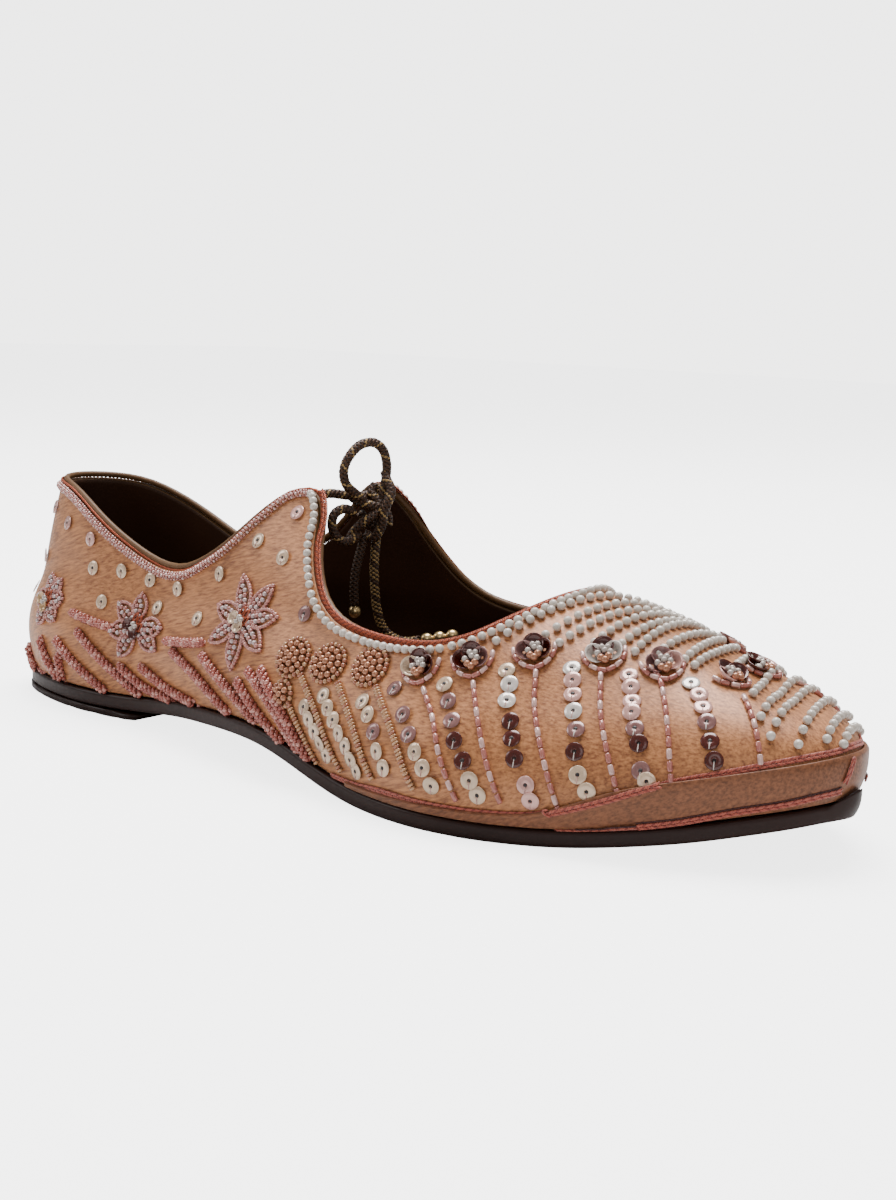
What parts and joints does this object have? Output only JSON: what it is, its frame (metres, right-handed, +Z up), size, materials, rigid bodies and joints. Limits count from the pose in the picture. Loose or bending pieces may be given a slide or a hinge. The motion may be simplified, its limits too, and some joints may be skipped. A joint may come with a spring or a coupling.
{
  "type": "bridal shoe",
  "caption": "Hollow satin bridal flat with a cut throat and two ears tied by a braided cord over the instep, on a thin arched leather sole with a low heel lift.",
  "frame": {"origin": "on the floor under the middle of the shoe", "axes": "+X from heel to toe, +Y towards the wearer's inner side, +Z up"},
  "size_m": [0.2499, 0.0866, 0.0768],
  "materials": {
    "satin": "rose-copper satin with a soft directional sheen",
    "strip_satin": "the same satin, folded flat round the toe",
    "sole_leather": "dark brown polished leather edge",
    "lining_leather": "matt olive-brown lining leather",
    "copper_braid": "copper metallic braid piping",
    "tie_braid": "dark brown braid with gold flecks",
    "gold_bead": "polished gold-coloured round beads"
  },
  "bodies": {
    "root": {"upper": "satin", "toe_strip": "strip_satin", "outsole": "sole_leather", "heel_lift": "sole_leather", "insole": "lining_leather", "collar_binding": "copper_braid", "tie_bar": "tie_braid", "knot": "tie_braid", "loop_upper": "tie_braid", "loop_lower": "tie_braid", "end_front": "tie_braid", "end_back": "tie_braid", "beads_front": "gold_bead", "beads_back": "gold_bead"}
  },
  "joints": []
}
